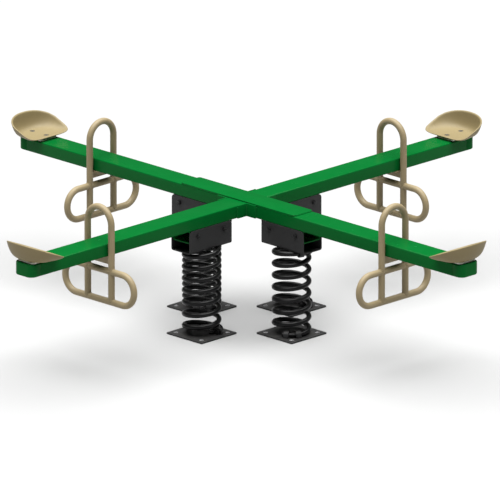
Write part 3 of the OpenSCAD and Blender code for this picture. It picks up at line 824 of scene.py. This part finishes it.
def make_clips():
    bolt = joined(lathe([(CLIP_BOLT_D / 2, 0), (CLIP_BOLT_D / 2, CLIP_T)], 24),
                  moved(hex_head(CLIP_HEAD_W, CLIP_HEAD_H), z=CLIP_T))
    lower, lower_bolts, upper, upper_bolts, upper_nuts = [], [], [], [], []
    half_turn = math.degrees(math.asin(CLIP_W / 2 / COIL_R))
    for u in LOWER_CLIP_TURNS:
        ends = [wire_z(u - half_turn) - BASE_T, wire_z(u + half_turn) - BASE_T]
        strap = clip(sum(ends) / 2, CLIP_PLAY + (ends[1] - ends[0]) / 2)
        lower.append(spun(moved(strap, z=BASE_T), TAIL_ANGLE + u))
        lower_bolts.append(spun(moved(bolt, CLIP_BOLT_X, z=BASE_T), TAIL_ANGLE + u))
    strap = clip(WIRE_R + SPRING_GAP, CLIP_PLAY)
    nut = hex_head(CLIP_HEAD_W, CLIP_NUT_H, True)
    tip = thread(CLIP_BOLT_D, CLIP_NUT_H + BOLT_END, 1.25 * MM)
    for a in UPPER_CLIP_ANGLES:
        hung = placed(strap, (0, 0, WEB_Z), (1, 0, 0), (0, -1, 0))
        upper.append(spun(hung, a))
        head = placed(bolt, (CLIP_BOLT_X, 0, WEB_Z), (1, 0, 0), (0, -1, 0))
        upper_bolts.append(spun(joined(head, moved(tip, CLIP_BOLT_X, z=WEB_Z + BRACKET_T)), a))
        upper_nuts.append(spun(moved(nut, CLIP_BOLT_X, z=WEB_Z + BRACKET_T), a))
    for name, shapes, slot, body in (
        ("lower_clips", lower, "black_steel", "base"),
        ("lower_clip_bolts", lower_bolts, "zinc_bolt", "base"),
        ("upper_clips", upper, "black_steel", "frame"),
        ("upper_clip_bolts", upper_bolts, "zinc_bolt", "frame"),
        ("upper_clip_nuts", upper_nuts, "zinc_bolt", "frame"),
    ):
        show(name + "_all", at_all_springs(joined(*shapes)), slot, body, [name])


def make_base_plates():
    half = ANCHOR_PITCH / 2
    centres = [(x, y) for x in (-half, half) for y in (-half, half)]
    holes = [circle_outline(x, y, ANCHOR_R) for x, y in centres]
    plate = slab(rounded_rect(BASE_W, BASE_W, BASE_CORNER_R), BASE_T, 1.0 * MM, holes)
    # the hole walls and their chamfer ring are bare metal, coloured pale as painted light standing in for
    # lit floor seen through the holes
    inside, outside, skin = ANCHOR_R - 0.15 * MM, ANCHOR_R + 1.2 * MM, 0.15 * MM
    turn = np.linspace(0, 2 * math.pi, 48, endpoint=False)
    profile = [(inside, 0.6 * MM), (inside, BASE_T - 1.1 * MM), (outside, BASE_T + skin),
               (outside - 0.6 * MM, BASE_T - 0.9 * MM), (ANCHOR_R + 0.4 * MM, 0.6 * MM)]
    rings = [[(r * math.cos(t), r * math.sin(t), z) for r, z in profile] for t in turn]
    bare_wall = loft(rings, loop=True)
    walls = joined(*(moved(bare_wall, x, y) for x, y in centres))
    finish = bare_zinc_painted_light()
    for arm, side in enumerate(SIDES):
        show(f"foot_plate_{side}", at_spring(plate, arm), "black_steel", "base", [f"base_plate_{side}"])
        show(f"anchor_hole_walls_{side}", at_spring(walls, arm), "zinc_bolt", "base", finish=finish)


# Handles and foot loops

HANDLE_BOLT_PITCH = 50 * MM
HANDLE_BOLT_OFFSET = 16 * MM


def joint_bead(centre, leaving, across, radius=2.2 * MM):
    """The weld round a tube that leaves another tube of the same size, whose axis is across."""
    centre, leaving, across = (np.array(v, float) for v in (centre, leaving, across))
    third = np.cross(leaving, across)
    path = []
    for t in np.linspace(0, 2 * math.pi, 72, endpoint=False):
        rise = math.sqrt(math.sin(t) ** 2 + 0.01)
        path.append(centre + TUBE_R * (math.cos(t) * third + math.sin(t) * across + rise * leaving))
    return bead(path, leaving, radius, loop=True)


def make_handles():
    x = HANDLE_X
    arch_z = HOOP_TOP - LEG_Y
    arch = [(x, -LEG_Y * math.cos(a), arch_z + LEG_Y * math.sin(a)) for a in np.linspace(0, math.pi, 49)]
    hoop = sweep([(x, -LEG_Y, LOWER_BAR_Z), *arch, (x, LEG_Y, LOWER_BAR_Z)], TUBE_R, (1, 0, 0), 40)
    mid_z = (UPPER_BAR_Z + LOWER_BAR_Z) / 2
    bend = [(x, BEND_Y + BEND_R * math.sin(a), mid_z - BEND_R * math.cos(a))
            for a in np.linspace(0, math.pi, 37)]
    half_loop = [*bend, (x, LEG_Y, UPPER_BAR_Z)]
    other_half = [(px, -py, pz) for px, py, pz in reversed(half_loop)]
    loop = sweep([*other_half, *half_loop], TUBE_R, (1, 0, 0), 40)
    crossbar = sweep([(x, -LEG_Y, UPPER_BAR_Z), (x, LEG_Y, UPPER_BAR_Z)], TUBE_R, (1, 0, 0), 40)
    leg = high("handle_angle_east").z - low("handle_angle_east").z
    t = high("handle_angle_east").x - x
    outline = filleted([(-leg, 0, 0.8 * MM), (-leg, -2 * t, 1.5 * MM), (-t, -2 * t, 4 * MM),
                        (-t, -leg, 1.5 * MM), (t, -leg, 1.5 * MM), (t, 0, 0.8 * MM)])
    angle = placed(slab(outline, 2 * BEAM_HALF, 0.8 * MM), (x, BEAM_HALF, BEAM_Z), (1, 0, 0), (0, 0, 1))
    welds = []
    for y in (-LEG_Y, LEG_Y):
        welds.append(joint_bead((x, y, LOWER_BAR_Z), (0, 0, 1), (0, 1, 0)))
        for out in (-1, 1):
            welds.append(joint_bead((x, y, UPPER_BAR_Z), (0, out, 0), (0, 0, 1)))
    weld_y, weld_low, weld_high = BEAM_HALF - 0.4 * MM, BEAM_Z - leg + 2 * MM, BEAM_Z - 2 * t - 1 * MM
    for out in (-1, 1):
        weld_x = x + out * (t + 1 * MM)
        foot = line((weld_x, weld_y, weld_low), (weld_x, weld_y, weld_high))
        welds.append(both_sides(bead(foot, (1, 0, 0), 2 * MM)))
    for arm, side in enumerate(SIDES):
        show(f"hand_hoop_{side}", turned(hoop, arm), "tan_tube", "frame", [f"handle_hoop_{side}"])
        show(f"foot_ring_{side}", turned(loop, arm), "tan_tube", "frame", [f"foot_loop_{side}"])
        show(f"crossbar_{side}", turned(crossbar, arm), "tan_tube", "frame", [f"foot_crossbar_{side}"])
        show(f"angle_bar_{side}", turned(angle, arm), "tan_tube", "frame", [f"handle_angle_{side}"])
        show(f"handle_welds_{side}", turned(joined(*welds), arm), "tan_tube", "frame")
    bolts = []
    for y in (-HANDLE_BOLT_PITCH / 2, HANDLE_BOLT_PITCH / 2):
        head = hex_head(CLIP_HEAD_W, CLIP_HEAD_H)
        bolts.append(placed(head, (x - HANDLE_BOLT_OFFSET, y, BEAM_Z - 2 * t), (1, 0, 0), (0, -1, 0)))
    show("handle_bolts_all", on_all_arms(joined(*bolts)), "zinc_bolt", "frame", ["handle_bolts"])


# Seats

SEAT_BOLT_X = SEAT_X - 12 * MM
SEAT_BOLT_PITCH = 76 * MM
SEAT_BOLT_D = 9.5 * MM
SEAT_RECESS_R = 10 * MM
SEAT_RECESS_H = 4 * MM
SEAT_NUT_W = 15 * MM
SEAT_NUT_H = 8 * MM
PAD_L, PAD_W, PAD_CORNER_R = 110 * MM, 88 * MM, 12 * MM


def seat_outline(phi):
    """An ellipse at the back of the seat and a fuller curve at its front."""
    c, s = math.cos(phi), math.sin(phi)
    power = 2 / (SEAT_BACK_POWER if c > 0 else SEAT_FRONT_POWER)
    x, y = math.copysign(abs(c) ** power, c), math.copysign(abs(s) ** power, s)
    return np.array([SEAT_L / 2 * x, SEAT_W / 2 * y])


def seat_point(s, phi, inset):
    """A point on the skin that lies inset above the seat's underside; s goes from the middle to the rim."""
    edge = seat_outline(phi)
    x, y = edge * (1 - inset / np.linalg.norm(edge))
    floor_z = SEAT_UNDER + inset
    rim_z = SEAT_FLOOR + math.tan(SEAT_SLOPE) * (x + SEAT_L / 2)
    return SEAT_X + x * s, y * s, floor_z + (rim_z - floor_z) * s ** SEAT_STEEPNESS


def seat_shell():
    """The dished shell, whose two faces meet in a rounded rim."""
    fine = np.linspace(0.6, 1, 161)
    columns = []
    for phi in np.linspace(0, 2 * math.pi, 128, endpoint=False):
        faces = []
        for inset in (0, SEAT_T):
            curve = np.array([seat_point(s, phi, inset) for s in fine])
            left = np.cumsum(np.linalg.norm(np.diff(curve[::-1], axis=0), axis=1))
            end = len(fine) - 2 - np.searchsorted(left, SEAT_T / 2)
            rows = [fine[end] * (k / 22) ** 0.62 for k in range(1, 23)]
            points = np.array([seat_point(s, phi, inset) for s in rows])
            faces.append((points, unit(curve[end + 1] - curve[end])))
        (under, out), (top, up) = faces
        reach = np.linalg.norm(under[-1] - top[-1]) * 2 / 3
        pulls = np.array([under[-1], under[-1] + out * reach, top[-1] + up * reach, top[-1]])
        rim = [np.array([(1 - t) ** 3, 3 * t * (1 - t) ** 2, 3 * t * t * (1 - t), t ** 3]) @ pulls
               for t in np.linspace(0, 1, 13)[1:-1]]
        columns.append([*under, *rim, *top[::-1]])
    return loft(np.array(columns).transpose(1, 0, 2))


def carved(shape, cutter):
    """A shape with another one taken out of it."""
    parts = []
    for verts, faces in (shape, cutter):
        mesh = bpy.data.meshes.new("carving")
        mesh.from_pydata([tuple(v) for v in verts], [], faces)
        bm = bmesh.new()
        bm.from_mesh(mesh)
        bmesh.ops.recalc_face_normals(bm, faces=bm.faces)
        bm.to_mesh(mesh)
        bm.free()
        parts.append(bpy.data.objects.new("carving", mesh))
        bpy.context.scene.collection.objects.link(parts[-1])
    cut = parts[0].modifiers.new("cut", "BOOLEAN")
    cut.operation, cut.object, cut.solver = "DIFFERENCE", parts[1], "EXACT"
    result = parts[0].evaluated_get(bpy.context.evaluated_depsgraph_get()).to_mesh()
    carved_shape = [tuple(v.co) for v in result.vertices], [tuple(f.vertices) for f in result.polygons]
    for part in parts:
        bpy.data.meshes.remove(part.data)
    return carved_shape


def seat_bolt():
    """The low round head in its recess, with a hexagon socket, and the threaded end under the arm."""
    head_r, head_h, socket = 9.5 * MM, 3 * MM, 3.2 * MM
    turn = np.linspace(0, 2 * math.pi, 48, endpoint=False)
    rim = np.column_stack([head_r * np.cos(turn), head_r * np.sin(turn)])
    hexagon = [(socket * math.cos(a), -socket * math.sin(a), 0) for a in np.arange(6) * math.pi / 3]
    head = slab(rim, head_h, 0.9 * MM, [filleted(hexagon)])
    floor = lathe([(socket * 1.1, 0.2 * MM), (socket * 1.1, 1.0 * MM)], 24)
    end = thread(SEAT_BOLT_D, SEAT_NUT_H + BOLT_END)
    return joined(moved(joined(head, floor), z=SEAT_FLOOR - SEAT_RECESS_H),
                  placed(end, (0, 0, BEAM_Z), (1, 0, 0), (0, -1, 0)))


def make_seats():
    recess = lathe([(SEAT_RECESS_R, SEAT_FLOOR - SEAT_RECESS_H), (SEAT_RECESS_R, SEAT_FLOOR - 0.7 * MM),
                    (SEAT_RECESS_R + 3.7 * MM, SEAT_FLOOR + 3 * MM)])
    bolt_places = [SEAT_BOLT_X - SEAT_BOLT_PITCH / 2, SEAT_BOLT_X + SEAT_BOLT_PITCH / 2]
    shell = carved(seat_shell(), joined(*(moved(recess, x) for x in bolt_places)))
    pad = slab(rounded_rect(PAD_L, PAD_W, PAD_CORNER_R), SEAT_UNDER - BEAM_TOP, 1.5 * MM)
    pad = moved(pad, SEAT_BOLT_X, z=BEAM_TOP)
    for arm, side in enumerate(SIDES):
        show(f"seat_shell_{side}", turned(shell, arm), "seat_shell", "frame", [f"seat_{side}"], 50)
        show(f"seat_cushion_pad_{side}", turned(pad, arm), "seat_pad", "frame", [f"seat_pad_{side}"])
    bolts = [moved(seat_bolt(), x) for x in bolt_places]
    nut = moved(hex_head(SEAT_NUT_W, SEAT_NUT_H, True), z=BEAM_Z - SEAT_NUT_H)
    nuts = [moved(nut, x) for x in bolt_places]
    show("seat_bolts_all", on_all_arms(joined(*bolts)), "zinc_bolt", "frame", ["seat_bolts"])
    show("seat_nuts_all", on_all_arms(joined(*nuts)), "zinc_bolt", "frame", ["seat_nuts"])


make_beams()
make_arm_ends()
make_springs()
make_brackets()
make_clips()
make_base_plates()
make_handles()
make_seats()

slots = {part["node"]: part["material_slot"] for part in frame["record"]["subparts"]}
for name, node in frame["nodes"].items():
    if not node.hide_render:
        node.data.materials.clear()
        node.data.materials.append(MATERIALS[slots[name]])


# ---- floor, light and camera ----

def make_floor():
    mesh = bpy.data.meshes.new("floor")
    half = 14.0
    corners = [(-half, -half, 0), (half, -half, 0), (half, half, 0), (-half, half, 0)]
    mesh.from_pydata(corners, [], [(0, 1, 2, 3)])
    mesh.materials.append(pale_floor())
    floor = bpy.data.objects.new("floor", mesh)
    bpy.context.scene.collection.objects.link(floor)


def make_light(strength, spread):
    """A broad overhead light, which leaves only soft shade on the floor."""
    light = bpy.data.lights.new("overhead", "SUN")
    light.energy, light.angle = strength, math.radians(spread)
    bpy.context.scene.collection.objects.link(bpy.data.objects.new("overhead", light))


def make_world(strength):
    world = bpy.data.worlds.new("studio")
    world.use_nodes = True
    world.node_tree.nodes["Background"].inputs["Color"].default_value = (1, 1, 1, 1)
    world.node_tree.nodes["Background"].inputs["Strength"].default_value = strength
    bpy.context.scene.world = world


def make_camera(azimuth=45, elevation=17.24, width=1.905, lens=1500):
    """A very long lens, so that the arms run almost parallel, aimed at the upper part of the springs."""
    a, e = math.radians(azimuth), math.radians(elevation)
    back = Vector((math.sin(a) * math.cos(e), -math.cos(a) * math.cos(e), math.sin(e)))
    right = Vector((math.cos(a), math.sin(a), 0))
    data = bpy.data.cameras.new("camera")
    data.lens = lens
    distance = width * lens / data.sensor_width
    data.clip_start, data.clip_end = distance / 4, distance * 2
    target = Vector((0, 0, 0.281)) + right * 0.013
    camera = bpy.data.objects.new("camera", data)
    camera.location = target + back * distance
    camera.rotation_euler = back.to_track_quat("Z", "Y").to_euler()
    bpy.context.scene.collection.objects.link(camera)
    bpy.context.scene.camera = camera


make_floor()
make_world(strength=0.05)
make_light(strength=9.46, spread=76)
make_camera()
bpy.context.scene.view_settings.view_transform = "Standard"
